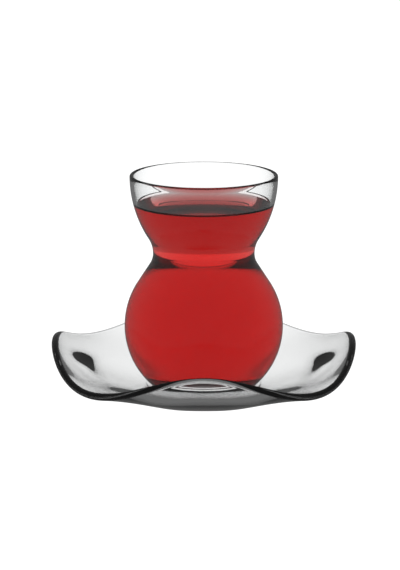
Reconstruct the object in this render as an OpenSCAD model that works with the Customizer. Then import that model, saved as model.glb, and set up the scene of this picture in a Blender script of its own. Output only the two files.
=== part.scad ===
// Turkish tea glass: a waisted, ball-bottomed glass of tea standing in the well
// of a clear glass saucer whose rim rises in four soft lobes.
// The origin is the middle of the saucer's flat underside, with +Z up.

/* [Glass] */
// Height of the glass from its foot to its rim
glass_h = 79; // [72:0.5:96]
// Wall thickness of the glass
wall = 1.4; // [0.8:0.1:2.4]
// Thickness of the solid base
base_t = 4; // [2:0.1:7]
// Outer radius of the ball
ball_r = 29.4; // [26:0.1:35]
// Height of the ball's middle above the foot
ball_z = 22.1; // [19:0.1:26]
// Radius of the rounded edge round the foot
heel_r = 2.6; // [1:0.1:6]
// Radius of the rounded corner at the bottom of the inside
inner_heel_r = 9; // [2:0.5:12]
// Outer radius of the waist
waist_r = 18.7; // [15:0.1:22]
// Tilt of the straight shoulder above the ball, from upright, in degrees
shoulder_tilt = 33; // [28:1:40]
// Radius of the hollow curve from the shoulder into the waist
lower_waist_r = 8; // [5:0.1:12]
// Radius of the hollow curve from the waist into the bowl
upper_waist_r = 11; // [5:0.1:18]
// Radius of the long curve of the bowl, from the waist to the rim
bowl_r = 42.5; // [32:0.5:90]
// Outer radius at the rim
rim_r = 27.1; // [24:0.1:31]

/* [Tea] */
// Free height between the tea and the rim
headroom = 10.8; // [4:0.1:20]
// How far the tea climbs the wall at its edge
meniscus_rise = 0.8; // [0:0.1:1.5]
// Width of the strip over which it climbs
meniscus_run = 2; // [1:0.1:4]

/* [Saucer] */
// How far the rim's middle line stands out beyond the glass's ball
saucer_reach = 26.7; // [18:0.1:36]
// How far the rim pulls in at each lobe, and spreads at each dip
rim_pull = 1; // [0:0.1:4]
// Mean height of the rim's middle line above the saucer's foot
rim_z = 16.1; // [14:0.1:22]
// How far each lobe rises above that height, and each dip falls below it
wave = 4.6; // [1:0.1:6]
// Number of lobes round the rim
lobes = 4; // [3:1:6]
// Thickness of the rising wall
saucer_wall = 2.7; // [2:0.1:4]
// Thickness of the rounded rim
saucer_rim_t = 2.7; // [2:0.1:5]
// Thickness of the flat well floor
floor_t = 4; // [3:0.1:6]
// Flat margin of the well floor round the glass's foot
well_margin = 3; // [1:0.1:6]
// Steepness of the wall at the top of a lobe, in degrees
lobe_slope = 78; // [50:1:84]
// Steepness of the wall at the edge of a dip, in degrees
dip_slope = 10; // [0:1:30]

/* [Hidden] */
$fn = 96;

// Steps along one arc of an outline, and on the long arc of the ball
arc_steps = 8;
ball_steps = 24;
// Steps of the saucer: round one lobe, along its wall, and over its rim
lobe_steps = 18;
wall_steps = 14;
rim_steps = 6;
// How far the wall runs on level before it turns up
wall_run = 3;
// Length over which it settles into its slope at the rim
rim_settle = 13;

// The glass stands on the well floor
foot_z = floor_t;
top_z = foot_z + glass_h;
tea_z = top_z - headroom;
ball_c = [0, foot_z + ball_z];
saucer_r = ball_r + saucer_reach;

// A straight shoulder touches the ball and the lower waist curve, and both waist
// curves touch the waist at the same height
both_r = ball_r + lower_waist_r;
waist_z = ball_c.y + both_r * sin(shoulder_tilt)
    + (both_r * cos(shoulder_tilt) - waist_r - lower_waist_r) / tan(shoulder_tilt);
lower_c = [waist_r + lower_waist_r, waist_z];
upper_c = [waist_r + upper_waist_r, waist_z];

// The bowl's curve touches the upper waist curve and ends at the rim
rim_c = [rim_r - wall / 2, top_z - wall / 2];
bowl_c = circles_meet(upper_c, upper_waist_r + bowl_r, rim_c, bowl_r - wall / 2);
bowl_a0 = direction(bowl_c, upper_c);
bowl_a1 = direction(bowl_c, rim_c);

// Flat radius of the glass's foot, and of the well floor that it stands on
foot_r = heel_centre(0, foot_z, heel_r).x;
well_r = foot_r + well_margin;

// Direction from one point to another, in degrees
function direction(from, to) = atan2(to.y - from.y, to.x - from.x);

// The crossing of two circles that lies to the left on the way from p to q
function circles_meet(p, p_r, q, q_r) =
    let (d = norm(q - p), along = (p_r * p_r - q_r * q_r + d * d) / (2 * d),
         ahead = (q - p) / d)
    p + along * ahead + sqrt(p_r * p_r - along * along) * [-ahead.y, ahead.x];

// Points along an arc, without its first one
function arc(centre, r, a0, a1, steps = arc_steps) =
    [for (i = [1:steps])
        let (a = a0 + (a1 - a0) * i / steps)
        centre + r * [cos(a), sin(a)]];

// Centre of the rounded corner between a floor and the ball's wall at some depth
function heel_centre(depth, floor_z, r) =
    let (rise = ball_c.y - floor_z - r)
    [sqrt(pow(ball_r - depth - r, 2) - rise * rise), floor_z + r];

// Half outline of the glass at some depth inside its outer face, from axis to rim
function half_outline(depth, floor_z, corner_r) =
    let (heel = heel_centre(depth, floor_z, corner_r),
         heel_a = direction(ball_c, heel))
    concat(
        [[0, floor_z], [heel.x, floor_z]],
        arc(heel, corner_r, -90, heel_a),
        arc(ball_c, ball_r - depth, heel_a, shoulder_tilt, ball_steps),
        [lower_c + (lower_waist_r + depth)
            * [cos(180 + shoulder_tilt), sin(180 + shoulder_tilt)]],
        arc(lower_c, lower_waist_r + depth, 180 + shoulder_tilt, 180),
        arc(upper_c, upper_waist_r + depth, 180, 180 + bowl_a0),
        arc(bowl_c, bowl_r - depth, bowl_a0, bowl_a1));

outside = half_outline(0, foot_z, heel_r);
inside = half_outline(wall, foot_z + base_t, inner_heel_r);

// Inner radius of the glass at a height
function inner_r(z) = lookup(z, [for (p = inside) if (p.x > 0) [p.y, p.x]]);

function reversed(points) = [for (i = [len(points) - 1:-1:0]) points[i]];

// Part of the way from a to b
function blend(a, b, part) = a + (b - a) * part;

// 1 at the top of a lobe, 0 at the bottom of a dip
function lobe_share(a) = (1 + cos(lobes * a)) / 2;

// Middle of the saucer's rim in the half plane at an angle
function rim_point(a) =
    [saucer_r - rim_pull * cos(lobes * a), rim_z + wave * cos(lobes * a)];

// The four control points of the wall's middle line at an angle
function wall_control(a) =
    let (slope = blend(dip_slope, lobe_slope, lobe_share(a)), rim = rim_point(a))
    [[well_r, floor_t / 2],
     [well_r + wall_run, floor_t / 2],
     rim - rim_settle * [cos(slope), sin(slope)],
     rim];

function bezier(c, t) =
    pow(1 - t, 3) * c[0] + 3 * pow(1 - t, 2) * t * c[1]
    + 3 * (1 - t) * t * t * c[2] + pow(t, 3) * c[3];

function bezier_direction(c, t) =
    direction([0, 0], pow(1 - t, 2) * (c[1] - c[0])
        + 2 * (1 - t) * t * (c[2] - c[1]) + t * t * (c[3] - c[2]));

// Thickness of the saucer, from the well floor at 0 to the rim at 1
function thickness(t) =
    saucer_wall + (floor_t - saucer_wall) * pow(1 - t, 3)
    + (saucer_rim_t - saucer_wall) * pow(t, 3);

// A point of the wall's upper face (side 1) or underside (side -1)
function wall_face(c, t, side) =
    let (a = bezier_direction(c, t) + 90)
    bezier(c, t) + side * thickness(t) / 2 * [cos(a), sin(a)];

// Section of the saucer at an angle: up the face, over the rim, down the underside
function saucer_section(a) =
    let (c = wall_control(a), slope = bezier_direction(c, 1))
    concat(
        [for (i = [0:wall_steps]) wall_face(c, i / wall_steps, 1)],
        arc(c[3], saucer_rim_t / 2, slope + 90, slope - 90, rim_steps),
        [for (i = [wall_steps - 1:-1:0]) wall_face(c, i / wall_steps, -1)]);

module saucer() {
    turns = lobes * lobe_steps;
    sections = [for (i = [0:turns - 1]) saucer_section(360 * i / turns)];
    row = len(sections[0]);
    points = [for (i = [0:turns - 1], p = sections[i])
        [p.x * cos(360 * i / turns), p.x * sin(360 * i / turns), p.y]];
    walls = [for (i = [0:turns - 1], j = [0:row - 2])
        let (next = (i + 1) % turns)
        [i * row + j, next * row + j, next * row + j + 1, i * row + j + 1]];
    well = [for (i = [turns - 1:-1:0]) i * row];
    foot = [for (i = [0:turns - 1]) i * row + row - 1];
    color("whitesmoke") polyhedron(points, concat(walls, [well, foot]));
}

module glass() {
    lip = arc(rim_c, wall / 2, bowl_a1, bowl_a1 + 180);
    color("lightcyan") rotate_extrude()
        polygon(concat(outside, lip, reversed(inside)));
}

// The tea fills the glass, wall to wall, and climbs it a little at its edge
module tea() {
    edge_z = tea_z + meniscus_rise;
    edge_r = inner_r(edge_z);
    below = [for (p = inside) if (p.y < edge_z) p];
    surface = [for (i = [0:arc_steps])
        [edge_r - meniscus_run * i / arc_steps,
         tea_z + meniscus_rise * pow(1 - i / arc_steps, 2)]];
    color("firebrick") rotate_extrude()
        polygon(concat(below, surface, [[0, tea_z]]));
}

saucer();
glass();
tea();
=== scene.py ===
"""Turkish tea glass: red tea in a waisted, ball-bottomed glass on a lobed glass saucer.

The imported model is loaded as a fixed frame. Each of its three solids is replaced by a
finely made piece of the same size: the saucer by Geometry Nodes, the glass and the tea
by turning an outline of joined arcs round the axis.
"""

import math

import bmesh
import bpy
from bpy.props import FloatProperty, IntProperty, PointerProperty, StringProperty
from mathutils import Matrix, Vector


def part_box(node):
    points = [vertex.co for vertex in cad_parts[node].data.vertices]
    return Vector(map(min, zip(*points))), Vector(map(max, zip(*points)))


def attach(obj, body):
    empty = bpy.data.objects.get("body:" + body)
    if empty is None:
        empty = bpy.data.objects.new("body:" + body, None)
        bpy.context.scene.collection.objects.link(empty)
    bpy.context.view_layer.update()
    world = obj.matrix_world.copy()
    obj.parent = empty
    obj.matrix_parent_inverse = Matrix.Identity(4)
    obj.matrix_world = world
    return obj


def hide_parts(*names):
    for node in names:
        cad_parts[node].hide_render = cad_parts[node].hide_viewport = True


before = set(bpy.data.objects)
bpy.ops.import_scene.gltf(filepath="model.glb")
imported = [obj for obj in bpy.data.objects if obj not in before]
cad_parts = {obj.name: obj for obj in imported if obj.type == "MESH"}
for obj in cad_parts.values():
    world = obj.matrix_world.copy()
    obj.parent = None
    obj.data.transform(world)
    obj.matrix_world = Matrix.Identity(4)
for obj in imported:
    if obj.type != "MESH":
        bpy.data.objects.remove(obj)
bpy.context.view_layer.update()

bl_info = {
    "name": "Tea Glass and Saucer",
    "version": (1, 0, 0),
    "blender": (4, 5, 0),
    "location": "3D View > Sidebar > Tea Glass",
    "description": "Makes a waisted glass of tea on a lobed glass saucer, with its stage",
    "category": "Add Mesh",
}

MM = 0.001
FLOOR_TOP = -0.01 * MM
FLOOR_BOTTOM = -10 * MM
FLOOR_CENTRE = 0.1
ON_AXIS = 0.0001 * MM
MERGE_GAP = 0.001 * MM

# How finely the pieces are made
SAUCER_TURNS = 385
SAUCER_ROWS = 221
GLASS_TURNS = 288
STAGE_TURNS = 96
HEEL_STEPS = 10
BALL_STEPS = 48
WAIST_STEPS = 12
BOWL_STEPS = 16
RIM_STEPS = 12
EDGE_STEPS = 12
FOOT_STEPS = 8
SHELL_STEPS = 45

# The foot's hollow, as a share of the foot's radius
FOOT_SHARE = 0.8

# Where the flat disc and then the wall end, as shares of the saucer's section
DISC_END = 0.06
WALL_END = 0.86

# How quickly the saucer's floor thickness gives way to the wall's, and that to the rim's
BLEND_POWER = 3.0

# Tint, and width and depth of the slight waviness
SAUCER_LOOK = ("#eff0f0", 9 * MM, 0.012 * MM)
GLASS_LOOK = ("#fbfcfc", 16 * MM, 0.004 * MM)
GLASS_IOR = 1.52
TEA_IOR = 1.33

# Light passes many faces of clear glass before it leaves the object
CLEAR_BOUNCES = 24
ALL_BOUNCES = 32

BODY = "root"

SAUCER_LOW, SAUCER_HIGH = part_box("saucer")
GLASS_LOW, GLASS_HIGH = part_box("glass")
TEA_LOW, TEA_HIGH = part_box("tea")


# ---------------------------------------------------------------- helpers

def linear(hex_colour):
    """An sRGB hex colour as linear RGB with an alpha of 1."""
    digits = hex_colour.lstrip("#")
    values = [int(digits[i:i + 2], 16) / 255 for i in (0, 2, 4)]
    return [v / 12.92 if v <= 0.04045 else ((v + 0.055) / 1.055) ** 2.4
            for v in values] + [1.0]


def add_node(tree, kind, settings=None, values=None, links=None):
    """Adds a node, sets its properties and input values, and links its inputs."""
    node = tree.nodes.new(kind)
    for name, value in (settings or {}).items():
        setattr(node, name, value)
    for key, value in (values or {}).items():
        node.inputs[key].default_value = value
    for key, socket in (links or {}).items():
        tree.links.new(socket, node.inputs[key])
    return node


def calc(tree, operation, a, b=None, clamp=False):
    """A Math node on two sockets or numbers."""
    values = {}
    links = {}
    for key, value in enumerate((a, b)):
        if value is not None:
            (values if isinstance(value, (int, float)) else links)[key] = value
    return add_node(tree, "ShaderNodeMath", {"operation": operation, "use_clamp": clamp},
                    values, links).outputs[0]


def falls(tree, value, start, end):
    """1 up to start and 0 from end on, smooth between them."""
    return add_node(tree, "ShaderNodeMapRange", {"interpolation_type": "SMOOTHSTEP"},
                    {"From Min": start, "From Max": end, "To Min": 1.0, "To Max": 0.0},
                    {"Value": value}).outputs[0]


def new_material(name):
    """An empty node material with its output, ready for a shader."""
    material = bpy.data.materials.new(name)
    material.use_nodes = True
    tree = material.node_tree
    tree.nodes.clear()
    output = add_node(tree, "ShaderNodeOutputMaterial")
    return material, tree, output


def link_object(name, mesh):
    """Puts a mesh in the scene as an object at the origin."""
    piece = bpy.data.objects.new(name, mesh)
    bpy.context.scene.collection.objects.link(piece)
    return piece


def arc(centre, radius, start, end, steps):
    """Points along an arc, angles in radians, without its first point."""
    return [(centre[0] + radius * math.cos(start + (end - start) * i / steps),
             centre[1] + radius * math.sin(start + (end - start) * i / steps))
            for i in range(1, steps + 1)]


def arc_with_start(centre, radius, start, end, steps):
    """Points along an arc, with its first point."""
    return arc(centre, radius, start, start, 1) + arc(centre, radius, start, end, steps)


def direction(start, end):
    """Angle of the way from one point to another."""
    return math.atan2(end[1] - start[1], end[0] - start[0])


def circles_meet(p, p_radius, q, q_radius):
    """The crossing of two circles that lies to the left on the way from p to q."""
    apart = math.dist(p, q)
    along = (p_radius ** 2 - q_radius ** 2 + apart ** 2) / (2 * apart)
    aside = math.sqrt(p_radius ** 2 - along ** 2)
    ahead = ((q[0] - p[0]) / apart, (q[1] - p[1]) / apart)
    return (p[0] + along * ahead[0] - aside * ahead[1],
            p[1] + along * ahead[1] + aside * ahead[0])


def turned(name, outline, turns):
    """A closed mesh made by turning an outline, from axis to axis, round +Z."""
    mesh = bpy.data.meshes.new(name)
    shape = bmesh.new()
    rings = []
    for radius, z in outline:
        if radius < ON_AXIS:
            rings.append([shape.verts.new((0, 0, z))])
            continue
        rings.append([shape.verts.new((radius * math.cos(math.tau * i / turns),
                                       radius * math.sin(math.tau * i / turns), z))
                      for i in range(turns)])
    for low, high in zip(rings, rings[1:]):
        for i in range(turns):
            j = (i + 1) % turns
            corners = [low[i % len(low)], low[j % len(low)],
                       high[j % len(high)], high[i % len(high)]]
            shape.faces.new(list(dict.fromkeys(corners)))
    bmesh.ops.recalc_face_normals(shape, faces=shape.faces)
    for face in shape.faces:
        face.smooth = True
    shape.to_mesh(mesh)
    shape.free()
    return mesh


# ---------------------------------------------------------------- sizes

class SaucerSizes(bpy.types.PropertyGroup):
    """Sizes of the saucer."""
    reach: FloatProperty(
        name="Rim Reach", description="Middle of the rim beyond the glass's ball",
        default=26.7 * MM, unit="LENGTH")
    rim_pull: FloatProperty(
        name="Rim Pull", description="How far the rim pulls in at a lobe",
        default=1.0 * MM, unit="LENGTH")
    rim_height: FloatProperty(
        name="Rim Height", description="Mean height of the middle of the rim",
        default=16.1 * MM, unit="LENGTH")
    wave: FloatProperty(
        name="Wave", description="How far a lobe rises and a dip falls",
        default=4.6 * MM, unit="LENGTH")
    lobes: IntProperty(
        name="Lobes", description="Number of lobes round the rim", default=4, min=3)
    wall: FloatProperty(
        name="Wall", description="Thickness of the rising wall",
        default=2.7 * MM, unit="LENGTH")
    rim: FloatProperty(
        name="Rim Thickness", description="Thickness of the rounded rim",
        default=2.64 * MM, unit="LENGTH")
    floor: FloatProperty(
        name="Floor Thickness", description="Thickness of the flat well floor",
        default=GLASS_LOW.z, unit="LENGTH")
    well_margin: FloatProperty(
        name="Well Margin", description="Flat floor round the foot of the glass",
        default=3.0 * MM, unit="LENGTH")
    run: FloatProperty(
        name="Level Run", description="How far the wall runs on before it turns up",
        default=3.0 * MM, unit="LENGTH")
    settle: FloatProperty(
        name="Rim Settle", description="Length over which the wall takes its rim slope",
        default=13.0 * MM, unit="LENGTH")
    lobe_slope: FloatProperty(
        name="Lobe Slope", description="Steepness of the wall on top of a lobe",
        default=math.radians(78), subtype="ANGLE")
    dip_slope: FloatProperty(
        name="Dip Slope", description="Steepness of the wall at the edge of a dip",
        default=math.radians(10), subtype="ANGLE")
    hollow: FloatProperty(
        name="Lobe Hollow", description="Thickness taken out of the left and right lobes",
        default=1.6 * MM, unit="LENGTH")
    hollow_place: FloatProperty(
        name="Hollow Place", description="Where the hollow lies, as a share of the wall",
        default=0.655, subtype="FACTOR")
    hollow_width: FloatProperty(
        name="Hollow Width", description="Half its width up the wall, as a share of the wall",
        default=0.12, subtype="FACTOR")
    hollow_hold: FloatProperty(
        name="Hollow Hold", description="How closely it keeps to the middle of its lobe",
        default=1.7)
    ripple: FloatProperty(
        name="Surface Ripple", description="Unevenness left by pressing the hot glass",
        default=0.02 * MM, unit="LENGTH")
    ripple_size: FloatProperty(
        name="Ripple Size", description="Width of that unevenness",
        default=11 * MM, unit="LENGTH")


class GlassSizes(bpy.types.PropertyGroup):
    """Sizes of the glass."""
    wall: FloatProperty(
        name="Wall", description="Thickness of the wall",
        default=1.4 * MM, unit="LENGTH")
    base: FloatProperty(
        name="Base", description="Thickness of the solid base",
        default=TEA_LOW.z - GLASS_LOW.z, unit="LENGTH")
    ball: FloatProperty(
        name="Ball Radius", description="Outer radius of the ball",
        default=29.4 * MM, unit="LENGTH")
    ball_height: FloatProperty(
        name="Ball Height", description="Middle of the ball above the foot",
        default=22.1 * MM, unit="LENGTH")
    heel: FloatProperty(
        name="Heel", description="Radius of the edge round the foot",
        default=2.6 * MM, unit="LENGTH")
    inner_heel: FloatProperty(
        name="Inner Heel", description="Radius of the corner at the bottom inside",
        default=9.0 * MM, unit="LENGTH")
    waist: FloatProperty(
        name="Waist Radius", description="Outer radius of the waist",
        default=18.7 * MM, unit="LENGTH")
    shoulder: FloatProperty(
        name="Shoulder Tilt", description="Tilt of the straight shoulder above the ball",
        default=math.radians(33), subtype="ANGLE")
    lower_waist: FloatProperty(
        name="Lower Waist Curve", description="Hollow curve from shoulder to waist",
        default=8.0 * MM, unit="LENGTH")
    upper_waist: FloatProperty(
        name="Upper Waist Curve", description="Hollow curve from waist to bowl",
        default=11.0 * MM, unit="LENGTH")
    bowl: FloatProperty(
        name="Bowl Curve", description="Long curve from the waist to the rim",
        default=42.5 * MM, unit="LENGTH")
    rim: FloatProperty(
        name="Rim Radius", description="Outer radius at the rim",
        default=27.1 * MM, unit="LENGTH")
    foot_hollow: FloatProperty(
        name="Foot Hollow", description="Depth of the shallow hollow under the foot",
        default=0.25 * MM, unit="LENGTH")


class TeaSizes(bpy.types.PropertyGroup):
    """Sizes and colour of the tea."""
    rise: FloatProperty(
        name="Edge Rise", description="How far the tea climbs the wall",
        default=0.8 * MM, unit="LENGTH")
    run: FloatProperty(
        name="Edge Run", description="Width of the strip over which it climbs",
        default=1.0 * MM, unit="LENGTH")
    overlap: FloatProperty(
        name="Wall Overlap", description="How far the tea reaches into the wall",
        default=0.2 * MM, unit="LENGTH")
    density: FloatProperty(
        name="Strength", description="Absorption of the tea for each metre",
        default=200.0)
    colour: StringProperty(
        name="Light Let Through", description="sRGB colour that the tea lets through",
        default="#fab4b0")


class StageSizes(bpy.types.PropertyGroup):
    """Sizes of the stage: floor, camera and light."""
    camera_distance: FloatProperty(
        name="Camera Distance", description="From the camera to the middle of the glass",
        default=690 * MM, unit="LENGTH")
    camera_height: FloatProperty(
        name="Camera Elevation", description="Angle of the camera above the table",
        default=math.radians(14.8), subtype="ANGLE")
    aim_height: FloatProperty(
        name="Aim Height", description="Height of the point that the camera circles",
        default=30 * MM, unit="LENGTH")
    lens: FloatProperty(
        name="Lens", description="Focal length in millimetres", default=117.4)
    frame_up: FloatProperty(
        name="Frame Rise", description="How far above that point the camera looks",
        default=11.1 * MM, unit="LENGTH")
    frame_right: FloatProperty(
        name="Frame Side Step", description="How far beside that point the camera looks",
        default=-1.4 * MM, unit="LENGTH")
    floor_radius: FloatProperty(
        name="Floor Radius", description="Radius of the floor",
        default=5.0, unit="LENGTH")
    table_glow: FloatProperty(
        name="Table Glow", description="Brightness of the floor and of all behind it",
        default=1.15)
    studio_radius: FloatProperty(
        name="Studio Radius", description="Distance of the surroundings from the object",
        default=1.6, unit="LENGTH")
    back_glow: FloatProperty(
        name="Back Glow", description="Most brightness seen straight through the glass",
        default=1.15)
    dark_glow: FloatProperty(
        name="Dark Glow", description="Brightness seen straight through, overhead",
        default=0.01)
    room_glow: FloatProperty(
        name="Room Glow", description="Brightness of the dim room that gets mirrored",
        default=0.17)
    outer_share: FloatProperty(
        name="Outer Share", description="Brightness above and below the brightest band",
        default=0.6, subtype="FACTOR")
    band_top: FloatProperty(
        name="Band Top", description="Height up to which the band is brightest",
        default=math.radians(-4), subtype="ANGLE")
    band_top_fade: FloatProperty(
        name="Band Top Fade", description="Over what height the band dims above that",
        default=math.radians(6), subtype="ANGLE")
    band_bottom: FloatProperty(
        name="Band Bottom", description="Height at which the band starts",
        default=math.radians(-44), subtype="ANGLE")
    window_top: FloatProperty(
        name="Window Top", description="Height at which it starts to get dark overhead",
        default=math.radians(38), subtype="ANGLE")
    fade: FloatProperty(
        name="Fade", description="Over what height the band starts and the dark comes in",
        default=math.radians(8), subtype="ANGLE")


class TeaGlassSettings(bpy.types.PropertyGroup):
    """All the sizes of the model."""
    saucer: PointerProperty(type=SaucerSizes)
    glass: PointerProperty(type=GlassSizes)
    tea: PointerProperty(type=TeaSizes)
    stage: PointerProperty(type=StageSizes)


# ---------------------------------------------------------------- materials

def clear_glass(name, tint, wave_size, wave_depth):
    """Soda-lime glass, fire polished. Clear and colourless, with the slight waviness
    that pressing or blowing leaves, which makes reflections wander a little."""
    material, tree, output = new_material(name)
    place = add_node(tree, "ShaderNodeTexCoord")
    waves = add_node(tree, "ShaderNodeTexNoise",
                     values={"Scale": 1 / wave_size, "Detail": 1.0},
                     links={"Vector": place.outputs["Object"]})
    bump = add_node(tree, "ShaderNodeBump",
                    values={"Strength": 1.0, "Distance": wave_depth},
                    links={"Height": waves.outputs["Fac"]})
    shader = add_node(tree, "ShaderNodeBsdfPrincipled",
                      values={"Base Color": linear(tint), "Roughness": 0.0,
                              "IOR": GLASS_IOR, "Transmission Weight": 1.0},
                      links={"Normal": bump.outputs["Normal"]})
    tree.links.new(shader.outputs[0], output.inputs["Surface"])
    return material


def black_tea(settings):
    """Strained black tea. A clear liquid that takes out green and blue within a few
    millimetres, so it glows red against the light and darkens where it is deep."""
    material, tree, output = new_material("strained_black_tea")
    shader = add_node(tree, "ShaderNodeBsdfPrincipled",
                      values={"Base Color": linear("#ffffff"), "Roughness": 0.0,
                              "IOR": TEA_IOR, "Transmission Weight": 1.0})
    absorb = add_node(tree, "ShaderNodeVolumeAbsorption",
                      values={"Color": linear(settings.colour),
                              "Density": settings.density})
    tree.links.new(shader.outputs[0], output.inputs["Surface"])
    tree.links.new(absorb.outputs[0], output.inputs["Volume"])
    return material


# ---------------------------------------------------------------- outlines

def half_outline(sizes, depth, floor_z, corner):
    """Outline of the glass at some depth inside its outer face, from axis to rim."""
    ball_z = GLASS_LOW.z + sizes.ball_height
    ball = (0.0, ball_z)
    heel_rise = ball_z - floor_z - corner
    heel = (math.sqrt((sizes.ball - depth - corner) ** 2 - heel_rise ** 2),
            floor_z + corner)
    tilt = sizes.shoulder
    both = sizes.ball + sizes.lower_waist
    waist_z = ball_z + both * math.sin(tilt) + (
        both * math.cos(tilt) - sizes.waist - sizes.lower_waist) / math.tan(tilt)
    lower = (sizes.waist + sizes.lower_waist, waist_z)
    upper = (sizes.waist + sizes.upper_waist, waist_z)
    rim = rim_centre(sizes)
    bowl = circles_meet(upper, sizes.upper_waist + sizes.bowl,
                        rim, sizes.bowl - sizes.wall / 2)
    heel_angle = direction(ball, heel)
    bowl_start = direction(bowl, upper)
    bowl_end = direction(bowl, rim)
    return ([(0.0, floor_z), (heel[0] * 0.5, floor_z), (heel[0], floor_z)]
            + arc(heel, corner, -math.pi / 2, heel_angle, HEEL_STEPS)
            + arc(ball, sizes.ball - depth, heel_angle, tilt, BALL_STEPS)
            + arc_with_start(lower, sizes.lower_waist + depth, math.pi + tilt, math.pi,
                             WAIST_STEPS)
            + arc(upper, sizes.upper_waist + depth, math.pi, math.pi + bowl_start,
                  WAIST_STEPS)
            + arc(bowl, sizes.bowl - depth, bowl_start, bowl_end, BOWL_STEPS)), bowl_end


def rim_centre(sizes):
    """Middle of the rounded rim."""
    return sizes.rim - sizes.wall / 2, GLASS_HIGH.z - sizes.wall / 2


# ---------------------------------------------------------------- saucer tree

def saucer_tree():
    """Geometry Nodes that bend a grid into the saucer's closed skin.

    Across the grid runs the section: well floor, wall, over the rim, and back along
    the underside. Along it runs the way round, on which the rim waves."""
    tree = bpy.data.node_groups.new("lobed_saucer", "GeometryNodeTree")
    face = tree.interface

    def number(name, kind="NodeSocketFloat"):
        face.new_socket(name, in_out="INPUT", socket_type=kind)

    for name in ("Rim Radius", "Rim Pull", "Rim Height", "Wave", "Wall",
                 "Rim Thickness", "Floor Thickness", "Well Radius", "Level Run",
                 "Rim Settle", "Lobe Slope", "Dip Slope", "Hollow", "Hollow Place",
                 "Hollow Width", "Hollow Hold", "Ripple", "Ripple Size"):
        number(name)
    number("Lobes", "NodeSocketInt")
    number("Turns", "NodeSocketInt")
    number("Rows", "NodeSocketInt")
    number("Material", "NodeSocketMaterial")
    face.new_socket("Saucer", in_out="OUTPUT", socket_type="NodeSocketGeometry")
    given = add_node(tree, "NodeGroupInput").outputs

    def point(r, z):
        """A vector in the plane of the section, out along X and up along Z."""
        values = {k: v for k, v in (("X", r), ("Z", z)) if isinstance(v, (int, float))}
        links = {k: v for k, v in (("X", r), ("Z", z)) if k not in values}
        return add_node(tree, "ShaderNodeCombineXYZ", None, values, links).outputs[0]

    def vector(operation, a, b=None, scale=None):
        """A Vector Math node."""
        links = {0: a}
        values = {}
        if isinstance(b, tuple):
            values[1] = b
        elif b is not None:
            links[1] = b
        if scale is not None:
            links["Scale"] = scale
        return add_node(tree, "ShaderNodeVectorMath", {"operation": operation},
                        values, links).outputs[0]

    def mix(a, b, share):
        """The point that lies a share of the way from a to b."""
        node = add_node(tree, "ShaderNodeMix", {"data_type": "VECTOR"})
        tree.links.new(share, node.inputs[0])
        tree.links.new(a, node.inputs[4])
        tree.links.new(b, node.inputs[5])
        return node.outputs[1]

    grid = add_node(tree, "GeometryNodeMeshGrid", None, {"Size X": 1.0, "Size Y": 1.0},
                    {"Vertices X": given["Rows"], "Vertices Y": given["Turns"]})
    where = add_node(tree, "GeometryNodeInputPosition")
    spot = add_node(tree, "ShaderNodeSeparateXYZ", links={0: where.outputs[0]})
    across = calc(tree, "ADD", spot.outputs["X"], 0.5)
    turn = calc(tree, "MULTIPLY", calc(tree, "ADD", spot.outputs["Y"], 0.5), math.tau)

    # Share of the section: 0 at the axis, 1 on top of the rim, on either face
    nearest = calc(tree, "MINIMUM", across, calc(tree, "SUBTRACT", 1.0, across))
    inward = calc(tree, "MULTIPLY", nearest, 2.0)
    disc = calc(tree, "DIVIDE", inward, DISC_END, clamp=True)
    t = calc(tree, "DIVIDE", calc(tree, "SUBTRACT", inward, DISC_END),
             WALL_END - DISC_END, clamp=True)
    over = calc(tree, "DIVIDE", calc(tree, "SUBTRACT", inward, WALL_END),
                1 - WALL_END, clamp=True)
    side = calc(tree, "SIGN", calc(tree, "SUBTRACT", 0.5, across))
    lean = calc(tree, "MULTIPLY", calc(tree, "SUBTRACT", 1.0, over), side)
    tilt = calc(tree, "MULTIPLY", lean, math.pi / 2)

    # The wave of the rim: 1 on top of a lobe, -1 at the bottom of a dip
    wave = calc(tree, "COSINE", calc(tree, "MULTIPLY", turn, given["Lobes"]))
    share = calc(tree, "MULTIPLY", calc(tree, "ADD", wave, 1.0), 0.5)
    steeper = calc(tree, "SUBTRACT", given["Lobe Slope"], given["Dip Slope"])
    slope = calc(tree, "ADD", given["Dip Slope"], calc(tree, "MULTIPLY", steeper, share))
    rim_r = calc(tree, "SUBTRACT", given["Rim Radius"],
                 calc(tree, "MULTIPLY", given["Rim Pull"], wave))
    rim_z = calc(tree, "ADD", given["Rim Height"],
                 calc(tree, "MULTIPLY", given["Wave"], wave))
    half_floor = calc(tree, "MULTIPLY", given["Floor Thickness"], 0.5)
    start = point(given["Well Radius"], half_floor)
    level = point(calc(tree, "ADD", given["Well Radius"], given["Level Run"]), half_floor)
    rim = point(rim_r, rim_z)
    back = vector("SCALE", point(calc(tree, "COSINE", slope), calc(tree, "SINE", slope)),
                  scale=given["Rim Settle"])
    settle = vector("SUBTRACT", rim, back)

    # The middle line of the wall is a cubic curve through these four points
    first = mix(start, level, t)
    second = mix(level, settle, t)
    third = mix(settle, rim, t)
    fore = mix(first, second, t)
    aft = mix(second, third, t)
    middle = mix(fore, aft, t)
    ahead = vector("NORMALIZE", vector("SUBTRACT", aft, fore))
    upward = vector("CROSS_PRODUCT", ahead, (0.0, 1.0, 0.0))

    # Thickness settles from the floor's to the wall's, and then to the rim's
    left = calc(tree, "POWER", calc(tree, "SUBTRACT", 1.0, t), BLEND_POWER)
    done = calc(tree, "POWER", t, BLEND_POWER)
    from_floor = calc(tree, "MULTIPLY", left, calc(
        tree, "SUBTRACT", given["Floor Thickness"], given["Wall"]))
    to_rim = calc(tree, "MULTIPLY", done, calc(
        tree, "SUBTRACT", given["Rim Thickness"], given["Wall"]))
    thick = calc(tree, "ADD", given["Wall"], calc(tree, "ADD", from_floor, to_rim))

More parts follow.
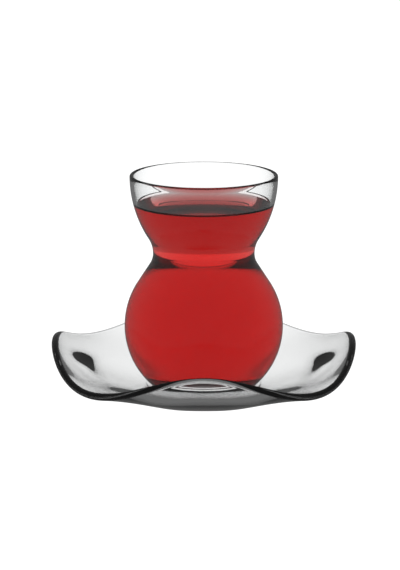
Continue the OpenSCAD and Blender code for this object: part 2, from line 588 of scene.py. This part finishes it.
    # A soft hollow thins the wall in the lobes to the left and right, on the X axis
    off = calc(tree, "DIVIDE", calc(tree, "SUBTRACT", t, given["Hollow Place"]),
               given["Hollow Width"])
    spread = calc(tree, "ADD", calc(tree, "MULTIPLY", off, off),
                  calc(tree, "MULTIPLY", calc(tree, "SUBTRACT", 1.0, wave),
                       given["Hollow Hold"]))
    sideways = calc(tree, "POWER", calc(tree, "COSINE", turn), 2.0)
    hollow = calc(tree, "MULTIPLY", calc(tree, "MULTIPLY", given["Hollow"], sideways),
                  calc(tree, "EXPONENT", calc(tree, "MULTIPLY", spread, -1.0)))
    half = calc(tree, "MULTIPLY", calc(tree, "SUBTRACT", thick, hollow), 0.5)
    out = vector("ADD", vector("SCALE", upward, scale=calc(tree, "SINE", tilt)),
                 vector("SCALE", ahead, scale=calc(tree, "COSINE", tilt)))
    skin = vector("ADD", middle, vector("SCALE", out, scale=half))
    flat = add_node(tree, "ShaderNodeSeparateXYZ", links={0: skin})
    radius = calc(tree, "MULTIPLY", flat.outputs["X"], disc)
    place = add_node(tree, "ShaderNodeCombineXYZ", None, None,
                     {"X": calc(tree, "MULTIPLY", radius, calc(tree, "COSINE", turn)),
                      "Y": calc(tree, "MULTIPLY", radius, calc(tree, "SINE", turn)),
                      "Z": flat.outputs["Z"]})
    bent = add_node(tree, "GeometryNodeSetPosition", None, None,
                    {"Geometry": grid.outputs["Mesh"], "Position": place.outputs[0]})
    closed = add_node(tree, "GeometryNodeMergeByDistance", None, {"Distance": MERGE_GAP},
                      {"Geometry": bent.outputs[0]})

    # A slight unevenness along the skin's own normal, none on the flat discs
    uneven = add_node(tree, "ShaderNodeTexNoise", None, {"Detail": 0.0},
                      {"Scale": calc(tree, "DIVIDE", 1.0, given["Ripple Size"])})
    normal = add_node(tree, "GeometryNodeInputNormal")
    height = calc(tree, "MULTIPLY", calc(tree, "SUBTRACT", uneven.outputs["Fac"], 1.0),
                  calc(tree, "MULTIPLY", given["Ripple"], t))
    shift = vector("SCALE", normal.outputs[0], scale=height)
    pressed = add_node(tree, "GeometryNodeSetPosition", None, None,
                       {"Geometry": closed.outputs[0], "Offset": shift})
    smooth = add_node(tree, "GeometryNodeSetShadeSmooth", None, None,
                      {"Geometry": pressed.outputs[0]})
    real = add_node(tree, "GeometryNodeRealizeInstances", None, None,
                    {"Geometry": smooth.outputs[0]})
    coat = add_node(tree, "GeometryNodeSetMaterial", None, None,
                    {"Geometry": real.outputs[0], "Material": given["Material"]})
    add_node(tree, "NodeGroupOutput", None, None, {"Saucer": coat.outputs[0]})
    return tree


# ---------------------------------------------------------------- operators

class TEAGLASS_OT_saucer(bpy.types.Operator):
    """Make the saucer: flat well, waved wall and rounded rim"""
    bl_idname = "teaglass.saucer"
    bl_label = "Make Saucer"
    bl_options = {"REGISTER", "UNDO"}

    def execute(self, context):
        sizes = context.scene.tea_glass.saucer
        glass = context.scene.tea_glass.glass
        heel_rise = glass.ball_height - glass.heel
        foot = math.sqrt((glass.ball - glass.heel) ** 2 - heel_rise ** 2)
        material = clear_glass("pressed_soda_lime_glass", *SAUCER_LOOK)
        source = link_object("saucer_source", bpy.data.meshes.new("saucer_source"))
        maker = source.modifiers.new("Saucer", "NODES")
        maker.node_group = saucer_tree()
        wanted = {
            "Rim Radius": glass.ball + sizes.reach, "Rim Pull": sizes.rim_pull,
            "Rim Height": sizes.rim_height, "Wave": sizes.wave, "Lobes": sizes.lobes,
            "Wall": sizes.wall, "Rim Thickness": sizes.rim,
            "Floor Thickness": sizes.floor, "Well Radius": foot + sizes.well_margin,
            "Level Run": sizes.run, "Rim Settle": sizes.settle,
            "Lobe Slope": sizes.lobe_slope, "Dip Slope": sizes.dip_slope,
            "Hollow": sizes.hollow, "Hollow Place": sizes.hollow_place,
            "Hollow Width": sizes.hollow_width, "Hollow Hold": sizes.hollow_hold,
            "Ripple": sizes.ripple, "Ripple Size": sizes.ripple_size,
            "Turns": SAUCER_TURNS, "Rows": SAUCER_ROWS, "Material": material,
        }
        for item in maker.node_group.interface.items_tree:
            if item.in_out == "INPUT":
                maker[item.identifier] = wanted[item.name]
        source.update_tag()
        context.view_layer.update()
        graph = context.evaluated_depsgraph_get()
        mesh = bpy.data.meshes.new_from_object(source.evaluated_get(graph))
        mesh.name = "pressed_saucer"
        bpy.data.objects.remove(source)
        shape = bmesh.new()
        shape.from_mesh(mesh)
        bmesh.ops.recalc_face_normals(shape, faces=shape.faces)
        shape.to_mesh(mesh)
        shape.free()
        piece = link_object("pressed_saucer", mesh)
        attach(piece, BODY)
        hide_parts("saucer")
        return {"FINISHED"}


class TEAGLASS_OT_glass(bpy.types.Operator):
    """Make the glass: ball, waist and bowl, with a heavy base and a rounded rim"""
    bl_idname = "teaglass.glass"
    bl_label = "Make Glass"
    bl_options = {"REGISTER", "UNDO"}

    def execute(self, context):
        sizes = context.scene.tea_glass.glass
        outer, rim_angle = half_outline(sizes, 0.0, GLASS_LOW.z, sizes.heel)
        inner, _ = half_outline(sizes, sizes.wall, GLASS_LOW.z + sizes.base,
                                sizes.inner_heel)
        foot = outer[2][0]
        hollow = [(foot * FOOT_SHARE * i / FOOT_STEPS, GLASS_LOW.z
                   + sizes.foot_hollow * (1 + math.cos(math.pi * i / FOOT_STEPS)) / 2)
                  for i in range(FOOT_STEPS + 1)]
        lip = arc(rim_centre(sizes), sizes.wall / 2, rim_angle, rim_angle + math.pi,
                  RIM_STEPS)
        outline = hollow + outer[2:] + lip + inner[-2::-1]
        piece = link_object("blown_glass", turned("blown_glass", outline, GLASS_TURNS))
        piece.data.materials.append(clear_glass("blown_soda_lime_glass", *GLASS_LOOK))
        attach(piece, BODY)
        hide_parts("glass")
        return {"FINISHED"}


class TEAGLASS_OT_tea(bpy.types.Operator):
    """Make the tea: it fills the glass and reaches just into its wall"""
    bl_idname = "teaglass.tea"
    bl_label = "Make Tea"
    bl_options = {"REGISTER", "UNDO"}

    def execute(self, context):
        sizes = context.scene.tea_glass.tea
        glass = context.scene.tea_glass.glass
        edge_z = TEA_HIGH.z
        level = edge_z - sizes.rise
        fill, _ = half_outline(glass, glass.wall - sizes.overlap,
                               GLASS_LOW.z + glass.base - sizes.overlap,
                               glass.inner_heel)
        below = [p for p in fill if p[1] < edge_z]
        after = next(p for p in fill if p[1] >= edge_z)
        share = (edge_z - below[-1][1]) / (after[1] - below[-1][1])
        edge_r = below[-1][0] + share * (after[0] - below[-1][0])
        wall_r = edge_r - sizes.overlap
        surface = [(wall_r - sizes.run * i / EDGE_STEPS,
                    level + sizes.rise * (1 - i / EDGE_STEPS) ** 2)
                   for i in range(EDGE_STEPS + 1)]
        outline = below + [(edge_r, edge_z)] + surface + [(wall_r * 0.5, level), (0.0, level)]
        piece = link_object("brewed_tea", turned("brewed_tea", outline, GLASS_TURNS))
        piece.data.materials.append(black_tea(sizes))
        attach(piece, BODY)
        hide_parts("tea")
        return {"FINISHED"}


class TEAGLASS_OT_stage(bpy.types.Operator):
    """Set the stage: pale floor, camera, and light that is the same all round"""
    bl_idname = "teaglass.stage"
    bl_label = "Set Stage"
    bl_options = {"REGISTER", "UNDO"}

    def execute(self, context):
        sizes = context.scene.tea_glass.stage
        self.add_camera(context, sizes)
        self.add_floor(sizes)
        self.add_sky(context, sizes)
        self.add_studio(sizes)
        return {"FINISHED"}

    def add_camera(self, context, sizes):
        """A long lens a little above the table."""
        data = bpy.data.cameras.new("camera")
        data.lens = sizes.lens
        camera = bpy.data.objects.new("camera", data)
        context.scene.collection.objects.link(camera)
        context.scene.camera = camera
        rise = sizes.camera_height
        back = Vector((0, -math.cos(rise), math.sin(rise)))
        up = Vector((0, math.sin(rise), math.cos(rise)))
        middle = Vector((0, 0, sizes.aim_height))
        camera.location = middle + back * sizes.camera_distance
        aim = middle + up * sizes.frame_up + Vector((sizes.frame_right, 0, 0))
        camera.rotation_euler = (aim - camera.location).to_track_quat("-Z", "Y").to_euler()

    def add_floor(self, sizes):
        """A round white light table: it glows evenly, so that nothing shades it. The
        glass shows the surroundings, and not the table."""
        radius = sizes.floor_radius
        floor = link_object("floor", turned("floor", [
            (0.0, FLOOR_BOTTOM), (radius, FLOOR_BOTTOM), (radius, FLOOR_TOP),
            (radius * FLOOR_CENTRE, FLOOR_TOP), (0.0, FLOOR_TOP)], STAGE_TURNS))
        material, tree, output = new_material("opal_light_table")
        glow = add_node(tree, "ShaderNodeEmission",
                        values={"Color": linear("#ffffff"), "Strength": sizes.table_glow})
        tree.links.new(glow.outputs[0], output.inputs["Surface"])
        floor.data.materials.append(material)
        floor.visible_glossy = False
        floor.visible_transmission = False

    def add_sky(self, context, sizes):
        """Even white light behind everything."""
        world = bpy.data.worlds.new("white_studio")
        context.scene.world = world
        world.use_nodes = True
        sky = world.node_tree.nodes["Background"]
        sky.inputs["Color"].default_value = linear("#ffffff")
        sky.inputs["Strength"].default_value = sizes.table_glow

    def add_studio(self, sizes):
        """The surroundings that the glass bends and mirrors: a shell that stays where it
        is, and whose brightness changes with height only."""
        radius = sizes.studio_radius
        angles = [math.pi * (i / SHELL_STEPS - 0.5) for i in range(SHELL_STEPS + 1)]
        outline = [(radius * math.cos(a), radius * math.sin(a)) for a in angles]
        outline[0] = (0.0, -radius)
        outline[-1] = (0.0, radius)
        shell = link_object("studio_shell", turned("studio_shell", outline, STAGE_TURNS))
        material, tree, output = new_material("studio_walls")
        place = add_node(tree, "ShaderNodeTexCoord")
        ray = add_node(tree, "ShaderNodeVectorMath", {"operation": "NORMALIZE"},
                       links={0: place.outputs["Object"]})
        axes = add_node(tree, "ShaderNodeSeparateXYZ", links={0: ray.outputs[0]})
        height = calc(tree, "ARCSINE", axes.outputs["Z"])

        # Seen straight through the glass: a bright band below level, dark overhead
        band = calc(tree, "SUBTRACT",
                    falls(tree, height, sizes.band_top,
                          sizes.band_top + sizes.band_top_fade),
                    falls(tree, height, sizes.band_bottom,
                          sizes.band_bottom + sizes.fade))
        level = calc(tree, "ADD", sizes.outer_share,
                     calc(tree, "MULTIPLY", 1 - sizes.outer_share, band))
        below = falls(tree, height, sizes.window_top, sizes.window_top + sizes.fade)
        bright = calc(tree, "MULTIPLY", below, calc(tree, "MULTIPLY", level, sizes.back_glow))
        through = calc(tree, "ADD", sizes.dark_glow, bright)

        # A path that was mirrored anywhere on its way sees an even, dim room instead
        kind = add_node(tree, "ShaderNodeLightPath")
        unmirrored = calc(tree, "LESS_THAN", kind.outputs["Glossy Depth"], 0.5)
        straight = calc(tree, "MULTIPLY", kind.outputs["Is Transmission Ray"], unmirrored)
        light = add_node(tree, "ShaderNodeMix", values={2: sizes.room_glow},
                         links={0: straight, 3: through})
        glow = add_node(tree, "ShaderNodeEmission", links={"Strength": light.outputs[0]})
        tree.links.new(glow.outputs[0], output.inputs["Surface"])
        shell.data.materials.append(material)
        shell.location = (0, 0, sizes.aim_height)
        shell.visible_camera = False
        shell.visible_diffuse = False
        shell.visible_shadow = False


class TEAGLASS_PT_panel(bpy.types.Panel):
    """Lists the pieces and their sizes"""
    bl_idname = "TEAGLASS_PT_panel"
    bl_label = "Tea Glass"
    bl_space_type = "VIEW_3D"
    bl_region_type = "UI"
    bl_category = "Tea Glass"

    def draw(self, context):
        settings = context.scene.tea_glass
        for step in STEPS:
            self.layout.operator(step.bl_idname)
        for group in (settings.saucer, settings.glass, settings.tea, settings.stage):
            box = self.layout.box()
            for name in group.bl_rna.properties.keys():
                if name not in ("rna_type", "name"):
                    box.prop(group, name)


STEPS = (TEAGLASS_OT_saucer, TEAGLASS_OT_glass, TEAGLASS_OT_tea, TEAGLASS_OT_stage)
CLASSES = (SaucerSizes, GlassSizes, TeaSizes, StageSizes, TeaGlassSettings,
           *STEPS, TEAGLASS_PT_panel)


def register():
    for item in CLASSES:
        bpy.utils.register_class(item)
    bpy.types.Scene.tea_glass = PointerProperty(type=TeaGlassSettings)


def unregister():
    del bpy.types.Scene.tea_glass
    for item in reversed(CLASSES):
        bpy.utils.unregister_class(item)


def main():
    register()
    bpy.context.scene.view_settings.view_transform = "Standard"
    bpy.context.scene.cycles.transmission_bounces = CLEAR_BOUNCES
    bpy.context.scene.cycles.max_bounces = ALL_BOUNCES
    bpy.ops.teaglass.saucer()
    bpy.ops.teaglass.glass()
    bpy.ops.teaglass.tea()
    bpy.ops.teaglass.stage()


if __name__ == "__main__":
    main()
